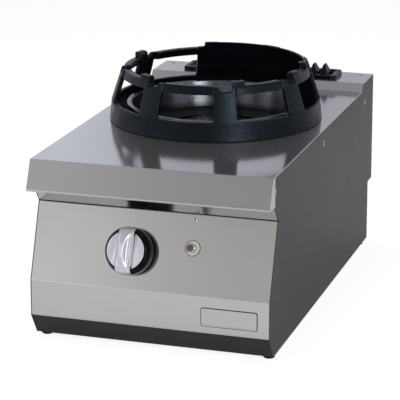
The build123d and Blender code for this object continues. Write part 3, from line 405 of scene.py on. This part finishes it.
materials = {
    "worktop_steel": brushed("worktop_steel", (0.47, 0.47, 0.49), roughness=0.13,
                             grain=(3, 700, 700), metallic=0.88),
    "panel_steel": brushed("panel_steel", (0.53, 0.52, 0.52), roughness=0.13, grain=(3, 900, 900)),
    # painted shade: the sides are plain steel made near black, with a dimmed edge tint
    "side_steel": brushed("side_steel", (0.085, 0.084, 0.1), roughness=0.27,
                          grain=(900, 3, 900), edge=0.62),
    # partly painted shade: dark steel darkened further for the shade on the downward-facing kick
    "dark_steel": painted("dark_steel", (0.024, 0.022, 0.022), roughness=0.45, gloss=0.2),
    "cast_iron": cast_iron("cast_iron", (0.002, 0.0026, 0.004), speckle=(0.03, 0.036, 0.05)),
    "enamel": bowl_finish("enamel", (0.14, 0.15, 0.17)),
    "knob_plastic": painted("knob_plastic", (0.003, 0.003, 0.004), roughness=0.14,
                            bump=0.02, gloss=0.05),
    "knob_silver": painted("knob_silver", (0.6, 0.61, 0.67), roughness=0.38,
                           grain=900.0, bump=0.04, metallic=0.8),
    "cream_plastic": painted("cream_plastic", (0.6, 0.56, 0.48), roughness=0.4),
    "button_plastic": painted("button_plastic", (0.06, 0.07, 0.105), roughness=0.3),
    "rubber": painted("rubber", (0.012, 0.012, 0.011), roughness=0.7,
                      grain=500.0, bump=0.4, gloss=0.25),
    "brass": brushed("brass", (0.72, 0.53, 0.25), roughness=0.3, grain=(300, 300, 300)),
    "zinc": painted("zinc", (0.5, 0.51, 0.53), roughness=0.36,
                    grain=120.0, bump=0.12, metallic=1.0),
    "pipe_steel": painted("pipe_steel", (0.5, 0.5, 0.5), roughness=0.34,
                          grain=200.0, bump=0.1, metallic=1.0),
    "ceramic": painted("ceramic", (0.8, 0.79, 0.75), roughness=0.35),
    "wire": painted("wire", (0.45, 0.45, 0.45), roughness=0.3,
                    grain=300.0, bump=0.1, metallic=1.0),
}


# ---- mesh helpers ----
def new_piece(name, mesh, body, slot, nodes=()):
    """A finished piece: linked, coloured, riding on its body and standing for CAD nodes."""
    made = bpy.data.objects.new(name, mesh)
    bpy.context.scene.collection.objects.link(made)
    mesh.materials.clear()
    mesh.materials.append(materials[slot])
    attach(made, body)
    if nodes:
        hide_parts(*nodes)
    return made


def mesh_from(name, shell, place=Matrix(), degrees=35):
    """A mesh from a bmesh at a place, smooth except where faces meet at more than an angle."""
    bmesh.ops.recalc_face_normals(shell, faces=shell.faces)
    shell.transform(place)
    for face in shell.faces:
        face.smooth = True
    for edge in shell.edges:
        edge.smooth = not (edge.is_manifold and edge.calc_face_angle(0) > math.radians(degrees))
    mesh = bpy.data.meshes.new(name)
    shell.to_mesh(mesh)
    shell.free()
    return mesh


def rounded(points, radius, steps=4, closed=False):
    """An outline with its corners replaced by curves, each limited by the runs beside it."""
    count = len(points)
    made = []
    for index, point in enumerate(points):
        here = Vector(point)
        if not closed and index in (0, count - 1):
            made.append(here)
            continue
        before = Vector(points[index - 1]) - here
        after = Vector(points[(index + 1) % count]) - here
        turn = before.angle(after)
        longest = min(before.length, after.length) * corner_share
        reach = min(radius / math.tan(turn / 2), longest)
        start, end = here + before.normalized() * reach, here + after.normalized() * reach
        for step in range(steps + 1):
            share = step / steps
            made.append(start.lerp(here, share).lerp(here.lerp(end, share), share))
    return made


def bridge(shell, loops):
    """Faces between each closed loop of points and the next."""
    for first, second in zip(loops, loops[1:]):
        for index in range(len(first)):
            after = (index + 1) % len(first)
            shell.faces.new([first[index], first[after], second[after], second[index]])


def turn_outline(shell, outline, segments, middle=(0, 0)):
    """Adds a solid turned about Z from an outline of (radius, height) points."""
    on_axis = 1e-7
    rings = []
    for radius, height in outline:
        if radius < on_axis:
            rings.append([shell.verts.new((*middle, height))] * segments)
            continue
        ring = []
        for index in range(segments):
            turn = 2 * math.pi * index / segments
            ring.append(shell.verts.new((middle[0] + radius * math.cos(turn),
                                         middle[1] + radius * math.sin(turn), height)))
        rings.append(ring)
    pairs = list(zip(rings, rings[1:]))
    if outline[0][0] > on_axis:
        pairs.append((rings[-1], rings[0]))
    for lower, upper in pairs:
        for index in range(segments):
            after = (index + 1) % segments
            corners = list(dict.fromkeys([lower[index], lower[after], upper[after], upper[index]]))
            if len(corners) > 2:
                shell.faces.new(corners)


def turned_piece(name, outline, place, segments, body, slot, nodes=()):
    """A piece turned from an outline about the Z axis of its place."""
    shell = bmesh.new()
    turn_outline(shell, outline, segments)
    new_piece(name, mesh_from(name, shell, place), body, slot, nodes)


def moulded_piece(name, node, voxel, passes, body):
    """A cast node's shape with all its edges rounded, as a mould leaves them."""
    copy = bpy.data.objects.new(name + ".source", frame["nodes"][node].data.copy())
    bpy.context.scene.collection.objects.link(copy)
    remesh = copy.modifiers.new("remesh", "REMESH")
    remesh.mode = "VOXEL"
    remesh.voxel_size = voxel
    remesh.use_smooth_shade = True
    soften = copy.modifiers.new("soften", "SMOOTH")
    soften.factor = 0.5
    soften.iterations = passes
    graph = bpy.context.evaluated_depsgraph_get()
    mesh = bpy.data.meshes.new_from_object(copy.evaluated_get(graph))
    mesh.name = name
    bpy.data.objects.remove(copy)
    new_piece(name, mesh, body, "cast_iron", [node])


def up_face(normal):
    """The direction up a face that leans about X."""
    return Vector((0, normal.z, -normal.y))


def upright_on(origin, normal, turn=0.0):
    """A place on a face that leans about X: X across, Y up the face, Z outward."""
    axes = Matrix((across, up_face(normal), normal)).transposed().to_4x4()
    return Matrix.Translation(origin) @ axes @ Matrix.Rotation(turn, 4, "Z")


def middle_of(node):
    """The middle of a node's box at rest."""
    low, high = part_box(node)
    return (low + high) / 2


def prism(shell, outline, low, high, bevel):
    """An upright solid on an outline, with its upper edge drawn in by a bevel."""
    middle = sum((Vector(point) for point in outline), Vector((0, 0))) / len(outline)
    first = bevel * bevel_share
    levels = [(low, 0.0), (high - bevel, 0.0), (high - first, first), (high, bevel)]
    loops = []
    for height, inset in levels:
        loop = []
        for point in outline:
            inward = (middle - Vector(point)).normalized() * inset
            loop.append(shell.verts.new((point[0] + inward.x, point[1] + inward.y, height)))
        loops.append(loop)
    bridge(shell, loops)
    shell.faces.new(loops[-1])
    shell.faces.new(loops[0][::-1])


def box_outline(width, height, corner, steps=5):
    """A rectangle about the origin, with rounded corners."""
    x, y = width / 2, height / 2
    return rounded([(-x, -y), (x, -y), (x, y), (-x, y)], corner, steps, closed=True)


# ---- cast pieces ----
def cast_pieces():
    """The wok ring, the flue grate and the burner head."""
    moulded_piece("wok_ring_cast", "wok_ring", ring_voxel, ring_passes, "pan_ring")
    moulded_piece("flue_grate_cast", "flue_grate", grate_voxel, grate_passes, "grate")
    moulded_piece("burner_head_cast", "burner_head", head_voxel, head_passes, "burner_ring")


def bowl():
    """The spill bowl: a flange over the collar, a steep wall and a floor round the burner."""
    low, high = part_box("spill_bowl")
    head_low, head_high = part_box("burner_head")
    edge = (high.x - low.x) / 2
    hole = (head_high.x - head_low.x) / 2 + hole_margin
    throat = edge - bowl_flange
    foot = throat - bowl_lean
    sheet = bowl_sheet
    outline = [
        (throat, high.z - sheet), (edge - sheet, high.z - sheet), (edge - sheet, high.z - bowl_skirt),
        (edge, high.z - bowl_skirt), (edge, high.z), (throat - sheet, high.z),
        (foot - sheet, low.z + bowl_fall + sheet), (hole, low.z + sheet), (hole, low.z),
        (foot, low.z + bowl_fall),
    ]
    middle = middle_of("spill_bowl")
    place = Matrix.Translation((middle.x, middle.y, 0))
    outline = rounded(outline, bowl_round, steps=5, closed=True)
    turned_piece("spill_bowl_pressed", outline, place, bowl_segments,
                 "bowl", "enamel", ["spill_bowl"])


# ---- knob ----
def knob():
    """The knob: a black skirt, and the silver face with its grip, rib and pointer."""
    place = upright_on(panel_origin, panel_normal, -knob_lean)
    hub_end = knob_gap + hub_recess
    seat = knob_shoulder - seat_depth
    skirt = [
        (0, hub_end), (hub_radius, hub_end), (hub_radius, knob_shoulder - knob_wall),
        (knob_face_radius - knob_wall, knob_shoulder - knob_wall),
        (knob_radius - knob_wall, knob_rim - knob_wall), (knob_radius - knob_wall, knob_gap),
        (knob_radius, knob_gap), (knob_radius, knob_rim - rim_bevel),
        (knob_radius - rim_bevel, knob_rim + rim_rise),
        (knob_radius - neck_inset, knob_shoulder - neck_drop),
        (knob_radius - neck_inset, knob_shoulder - neck_edge),
        (knob_radius - shoulder_inset, knob_shoulder),
        (knob_face_radius + seat_mouth, knob_shoulder), (knob_face_radius + seat_clearance, seat),
        (0, seat),
    ]
    turned_piece("knob_skirt", rounded(skirt, skirt_round), place, skirt_segments,
                 "knob", "knob_plastic", ["knob_body"])
    new_piece("knob_cap", knob_cap(place), "knob", "knob_silver", ["knob_face"])
    new_piece("knob_grip", knob_grip(place), "knob", "knob_silver")
    new_piece("knob_rib", knob_strip("knob_rib", place, rib_across, rib_length, rib_rise),
              "knob", "knob_silver")
    line = knob_strip("knob_line", place, pointer_across, pointer_length, pointer_rise)
    new_piece("knob_line", line, "knob", "knob_silver", ["knob_pointer"])


def circle_part(radius, x_from, x_to, steps=48):
    """The part of a disc between two straight cuts across X, as an outline."""
    high = math.acos(max(-1, min(1, x_from / radius)))
    low = math.acos(max(-1, min(1, x_to / radius)))
    turns = [low + (high - low) * step / steps for step in range(steps + 1)]
    points = [(radius * math.cos(turn), radius * math.sin(turn)) for turn in turns]
    return points + [(x, -y) for x, y in reversed(points)]


def knob_cap(place):
    """The silver face: two raised parts of a disc, left and right of the grip."""
    shell = bmesh.new()
    reach = knob_face_radius * just_inside
    pointer_edge = pointer_across + strip_width / 2
    for x_from, x_to in ((-reach, grip_left - face_gap), (pointer_edge + face_gap, reach)):
        prism(shell, circle_part(knob_face_radius, x_from, x_to), knob_shoulder - face_root,
              knob_face_top, face_bevel)
    return mesh_from("knob_cap", shell, place)


def grip_section(share):
    """The grip's outline across the knob, at a share of its reach from -1 to 1."""
    along = abs(share) * grip_reach
    arch = grip_end + (knob_crest - grip_end) * math.sqrt(max(0, 1 - share * share))
    arch = min(arch, grip_slope_start - grip_slope * along)
    bow = ridge_bow * (along / ridge_span) ** 3
    ridge = min(grip_right - grip_edge_round, ridge_middle + bow)
    edge = min(arch - hair / 2, knob_face_top + grip_edge_rise)
    bottom = min(arch - hair, knob_face_top + scoop_rise)
    scoop_end = min(grip_right - hair, ridge + scoop_width)
    foot = knob_rim + grip_foot_rise
    slope_from = grip_left + grip_edge_round
    slope_run = ridge - ridge_round - slope_from
    line = [(grip_left, foot), (grip_left, edge - grip_edge_round)]
    line.append((grip_left + grip_edge_step, edge - hair))
    for step in range(slope_steps + 1):
        t = step / slope_steps
        line.append((slope_from + slope_run * t, edge + (arch - edge) * math.sin(math.pi / 2 * t)))
    line.append((ridge, arch - ridge_drop))
    for step in range(1, scoop_steps + 1):
        t = step / scoop_steps
        line.append((ridge + (scoop_end - ridge) * t ** scoop_steepness,
                     bottom + (arch - bottom) * (1 - t) ** scoop_hollow))
    line += [(grip_right, bottom - hair), (grip_right, foot)]
    return [(x, share * math.sqrt(grip_reach ** 2 - x ** 2), z) for x, z in line]


def knob_grip(place):
    """The arched grip: it rises from its left edge to a bowed crest, and is scooped beyond it."""
    shell = bmesh.new()
    loops = []
    for row in range(grip_rows + 1):
        loops.append([shell.verts.new(point) for point in grip_section(-1 + 2 * row / grip_rows)])
    bridge(shell, loops)
    shell.faces.new(loops[0][::-1])
    shell.faces.new(loops[-1])
    return mesh_from("knob_grip", shell, place, grip_smooth_degrees)


def knob_strip(name, place, middle, length, rise):
    """A thin raised line along the knob's face."""
    shell = bmesh.new()
    outline = [(x + middle, y) for x, y in box_outline(strip_width, length, strip_corner, 3)]
    prism(shell, outline, knob_shoulder - face_root, knob_face_top + rise, strip_bevel)
    return mesh_from(name, shell, place)


# ---- springs of the button and the knob ----
def coil(name, node):
    """A hidden coil spring: a copy of its node in the node's finish, riding on the range body."""
    mesh = frame["nodes"][node].data.copy()
    mesh.name = name
    slots = {part["node"]: part["material_slot"] for part in frame["record"]["subparts"]}
    spring = new_piece(name, mesh, "range_body", slots[node], [node])
    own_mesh(spring)


# ---- igniter ----
def igniter():
    """The igniter: a cream bezel on its gasket, a metal collar and the button in it."""
    button_middle = middle_of("piezo_button")
    foot = button_middle - panel_normal * (button_middle - panel_origin).dot(panel_normal)
    place = upright_on(foot, panel_normal)
    bore = button_radius + button_clearance
    lap = collar_radius - bezel_lap
    side = bezel_radius - bezel_inset
    bezel = [(lap, bezel_back), (side, bezel_back), (side, bezel_edge),
             (side - bezel_slope, bezel_height), (lap, bezel_height)]
    turned_piece("igniter_bezel", rounded(bezel, igniter_round, steps=3, closed=True), place,
                 igniter_segments, "range_body", "cream_plastic", ["piezo_bezel"])
    gasket = [(collar_radius, 0), (bezel_radius, 0), (bezel_radius, gasket_height),
              (collar_radius, gasket_height)]
    turned_piece("igniter_gasket", rounded(gasket, igniter_round, steps=3, closed=True), place,
                 igniter_segments, "range_body", "rubber")
    collar = [(bore, -collar_tail), (collar_radius, -collar_tail),
              (collar_radius, collar_height - collar_bevel),
              (collar_radius - collar_bevel, collar_height),
              (bore + collar_mouth, collar_height), (bore, collar_height - collar_mouth_depth)]
    turned_piece("igniter_collar", rounded(collar, igniter_round, steps=3, closed=True), place,
                 igniter_segments, "range_body", "zinc")
    button = [(0, -button_tail), (button_radius, -button_tail),
              (button_radius, button_proud - button_edge),
              (button_radius - button_bevel, button_proud), (0, button_proud - button_dish)]
    turned_piece("igniter_button_cap", rounded(button, button_round), place,
                 button_segments, "igniter_button", "button_plastic", ["piezo_button"])


def sight_glass():
    """The eyelet in the panel through which the pilot flame is seen."""
    bore = sight_radius - sight_wall
    hole = sight_radius - sight_clearance
    lip = sight_radius + sight_lip
    ring = [(bore, -sight_tail), (hole, -sight_tail), (hole, sight_clearance),
            (lip, sight_clearance), (lip, sight_lip_edge), (sight_radius, sight_crown),
            (bore, sight_lip_edge)]
    origin = panel_origin + across * sight_across + up_face(panel_normal) * sight_above
    turned_piece("sight_eyelet", rounded(ring, sight_round, steps=3, closed=True),
                 upright_on(origin, panel_normal), sight_segments, "range_body", "zinc")


# ---- name plate ----
def badge_edge():
    """The dark rim round the blank name plate: painted shade standing for the shade on its edge."""
    low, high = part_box("badge_plate")
    width = high.x - low.x
    height = high.z - low.z
    section = ((-shade_rim_lap, -shade_rim_back), (plate_shade_rim, -shade_rim_back), (plate_shade_rim, 0),
               (plate_shade_rim * shade_rim_top_share, shade_rim_rise), (-shade_rim_lap, shade_rim_rise))
    shell = bmesh.new()
    loops = []
    for grow, level in section:
        outline = box_outline(width + 2 * grow, height + 2 * grow, plate_corner + grow)
        loops.append([shell.verts.new((x, y, level)) for x, y in outline])
    bridge(shell, loops + loops[:1])
    place = upright_on(middle_of("badge_plate"), Vector((0, -1, band_slope)).normalized())
    new_piece("badge_shade_rim", mesh_from("badge_shade_rim", shell, place), "range_body", "rubber")


# ---- gas inlet ----
def inlet_place():
    """A place on the inlet's axis, with Z pointing out at the back."""
    middle = middle_of("gas_inlet")
    return Matrix.Translation((middle.x, 0, middle.z)) @ Matrix.Rotation(-math.pi / 2, 4, "X")


def inlet_nipple():
    """The gas nipple: an inner flange, a shoulder under the nut and a ringed thread."""
    low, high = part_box("gas_inlet")
    nut_low, nut_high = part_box("inlet_locknut")
    flange = (high.x - low.x) / 2
    outer = inlet_thread_radius
    shoulder = inlet_shoulder_radius
    back = nut_low.y - flange_back
    front = nut_low.y - flange_front
    inside = [(inlet_bore, low.y), (shoulder, low.y), (shoulder, back), (flange, back),
              (flange, front), (shoulder, front), (shoulder, nut_high.y)]
    turns = int((high.y - nut_high.y - 2 * thread_margin) / thread_pitch)
    thread = []
    for index in range(turns):
        start = nut_high.y + thread_margin + index * thread_pitch
        thread.append((outer - thread_depth, start))
        thread += [(outer, start + thread_pitch * share) for share in thread_crest]
    mouth = [(outer - thread_depth, high.y - thread_margin), (outer - mouth_chamfer, high.y),
             (inlet_bore + bore_chamfer, high.y), (inlet_bore, high.y - bore_chamfer)]
    turned_piece("inlet_nipple", inside + thread + mouth, inlet_place(), inlet_segments,
                 "range_body", "brass", ["gas_inlet"])


def inlet_nut():
    """The hexagonal locknut with chamfered corners."""
    nut_low, nut_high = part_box("inlet_locknut")
    flat = (nut_high.z - nut_low.z) / 2
    thickness = nut_high.y - nut_low.y
    side = 2 * math.pi / nut_sides
    section = ((nut_corner, 0.25), (nut_corner, 0.75), (nut_chamfer, 1), (None, 1), (None, 0),
               (nut_chamfer, 0))
    shell = bmesh.new()
    loops = []
    for limit, level in section:
        loop = []
        for index in range(inlet_segments):
            turn = 2 * math.pi * index / inlet_segments
            sector = (turn + side / 2) % side - side / 2
            radius = inlet_shoulder_radius
            if limit is not None:
                radius = min(flat / math.cos(sector), flat * limit)
            loop.append(shell.verts.new((radius * math.sin(turn), radius * math.cos(turn),
                                         nut_low.y + thickness * level)))
        loops.append(loop)
    bridge(shell, loops + loops[:1])
    new_piece("inlet_nut", mesh_from("inlet_nut", shell, inlet_place(), nut_smooth_degrees),
              "range_body", "brass", ["inlet_locknut"])


# ---- feet ----
def rubber_feet():
    """Four turned feet, each with a bevelled tread."""
    low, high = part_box("feet")
    neck = foot_radius - foot_neck
    seat = low.z + foot_seat
    outline = [(foot_hole, low.z), (foot_radius - foot_bevel, low.z),
               (foot_radius, low.z + foot_bevel), (foot_radius, high.z - foot_neck_from),
               (neck, high.z - foot_neck_to), (neck, high.z), (foot_shank, high.z),
               (foot_shank, seat), (foot_hole, seat)]
    outline = rounded(outline, foot_round, steps=3, closed=True)
    shell = bmesh.new()
    for x in (low.x + foot_radius, high.x - foot_radius):
        for y in (low.y + foot_radius, high.y - foot_radius):
            turn_outline(shell, outline, foot_segments, (x, y))
    new_piece("rubber_feet", mesh_from("rubber_feet", shell), "range_body", "rubber", ["feet"])


# ---- stage ----
def area_light(name, place, target, size, power, mirrored=False):
    """A soft lamp. Gloss mirrors it as a shape only where asked."""
    lamp = bpy.data.lights.new(name, "AREA")
    lamp.shape = "RECTANGLE"
    lamp.size, lamp.size_y = size
    lamp.energy = power
    made = bpy.data.objects.new(name, lamp)
    made.location = place
    made.rotation_euler = (Vector(target) - Vector(place)).to_track_quat("-Z", "Y").to_euler()
    made.visible_glossy = mirrored
    bpy.context.scene.collection.objects.link(made)


def lamps():
    """A lamp at the front left, a mirrored one at the front right and one overhead."""
    area_light("key", place=(-1.6, -2.0, 2.2), target=(0, 0, 0.2), size=(1.6, 1.6), power=28)
    area_light("softbox", place=(1.7, -2.0, 1.0), target=(0, 0, 0.2), size=(0.8, 1.2), power=26,
               mirrored=True)
    area_light("top", place=(0, 0.4, 2.6), target=(0, 0, 0.3), size=(2.2, 2.2), power=22)


def ramp(tree, value, stops):
    """A grey ramp through (position, level) stops."""
    made = add(tree, "ValToRGB", {"Fac": value})
    elements = made.color_ramp.elements
    while len(elements) < len(stops):
        elements.new(0.5)
    for element, (position, level) in zip(elements, stops):
        element.position = position
        element.color = (level, level, level, 1)
    return made.outputs["Color"]


def sees_directly(tree, gloss_share=1.0):
    """1 for camera rays, and a share for glossy and transmission rays."""
    seen = add(tree, "LightPath").outputs
    mirrored = combine(tree, "MAXIMUM", seen["Is Glossy Ray"], seen["Is Transmission Ray"])
    mirrored = combine(tree, "MULTIPLY", mirrored, gloss_share)
    return combine(tree, "MAXIMUM", seen["Is Camera Ray"], mirrored)


def floor():
    """A pale paper floor. Seen directly it glows, and still darkens in the object's shadow."""
    reach = floor_reach
    mesh = bpy.data.meshes.new("floor")
    corners = [(-reach, -reach, 0), (reach, -reach, 0), (reach, reach, 0), (-reach, reach, 0)]
    mesh.from_pydata(corners, [], [(0, 1, 2, 3)])
    made = bpy.data.objects.new("floor", mesh)
    bpy.context.scene.collection.objects.link(made)
    paper, tree, shader = finish("floor_paper", Roughness=0.9)
    clouds = object_noise(tree, floor_clouds)
    tree.links.new(blend_color(tree, clouds, (0.93, 0.93, 0.93), (0.95, 0.95, 0.95)),
                   shader.inputs["Base Color"])
    glow = add(tree, "Emission", {"Color": (1, 1, 1, 1), "Strength": floor_glow})
    shadowed = add(tree, "BsdfDiffuse", {"Color": (floor_shadow, floor_shadow, floor_shadow, 1)})
    white = add(tree, "AddShader", {0: glow.outputs[0], 1: shadowed.outputs[0]})
    shares = {0: sees_directly(tree, floor_gloss_share), 1: shader.outputs[0], 2: white.outputs[0]}
    seen = add(tree, "MixShader", shares)
    tree.links.new(seen.outputs[0], tree.nodes["Material Output"].inputs["Surface"])
    mesh.materials.append(paper)


def studio():
    """A plain pale room by direction: brightest low down and at the front, cooler at the back."""
    world = bpy.data.worlds.new("studio")
    bpy.context.scene.world = world
    world.use_nodes = True
    tree = world.node_tree
    tree.nodes.clear()
    place = add(tree, "TexCoord").outputs["Generated"]
    toward = add(tree, "SeparateXYZ", {0: place}).outputs
    height = ramp(tree, toward["Z"], room_heights)
    sides = ramp(tree, remap(tree, toward["X"], 0, 1, -1, 1), room_sides)
    behind = remap(tree, toward["Y"], 0, 1, -room_turn, room_turn)
    tint = blend_color(tree, behind, room_front_tint, room_back_tint)
    room = multiply_color(tree, multiply_color(tree, height, sides), tint)
    front = combine(tree, "SUBTRACT", 1.0, behind)
    low_down = remap(tree, toward["Z"], glare_level, 0, glare_full, glare_none)
    strength = combine(tree, "ADD", combine(tree, "MULTIPLY", front, low_down), 1.0)
    backdrop = add(tree, "Background", {"Color": room, "Strength": strength})
    ambient = add(tree, "Background", {"Color": (1, 1, 1, 1), "Strength": ambient_level})
    shares = {0: sees_directly(tree), 1: ambient.outputs[0], 2: backdrop.outputs[0]}
    mixed = add(tree, "MixShader", shares)
    add(tree, "OutputWorld", {"Surface": mixed.outputs[0]})


def camera():
    """The photograph's camera."""
    forward = Vector((-math.sin(view_azimuth) * math.cos(view_elevation),
                      math.cos(view_azimuth) * math.cos(view_elevation), -math.sin(view_elevation)))
    side = forward.cross(Vector((0, 0, 1))).normalized()
    above = side.cross(forward)
    right = side * math.cos(view_roll) + above * math.sin(view_roll)
    up = above * math.cos(view_roll) - side * math.sin(view_roll)
    lens = bpy.data.cameras.new("camera")
    lens.lens = view_lens
    lens.clip_start, lens.clip_end = view_near, view_far
    made = bpy.data.objects.new("camera", lens)
    made.matrix_world = (Matrix.Translation(view_place)
                         @ Matrix((right, up, -forward)).transposed().to_4x4())
    bpy.context.scene.collection.objects.link(made)
    bpy.context.scene.camera = made


def dress_cad_nodes():
    """Each CAD node gets the finish of its slot, and the recess that of the panel."""
    for part in frame["record"]["subparts"]:
        mesh = frame["nodes"][part["node"]].data
        mesh.materials.clear()
        mesh.materials.append(materials[part["material_slot"]])
    frame["nodes"]["recess_panel"].data.materials[0] = materials["panel_steel"]


dress_cad_nodes()
cast_pieces()
bowl()
knob()
igniter()
coil("valve_spring_coil", "valve_spring")
coil("piezo_spring_coil", "piezo_spring")
sight_glass()
badge_edge()
inlet_nipple()
inlet_nut()
rubber_feet()
floor()
studio()
lamps()
camera()

bpy.context.scene.view_settings.view_transform = "Standard"
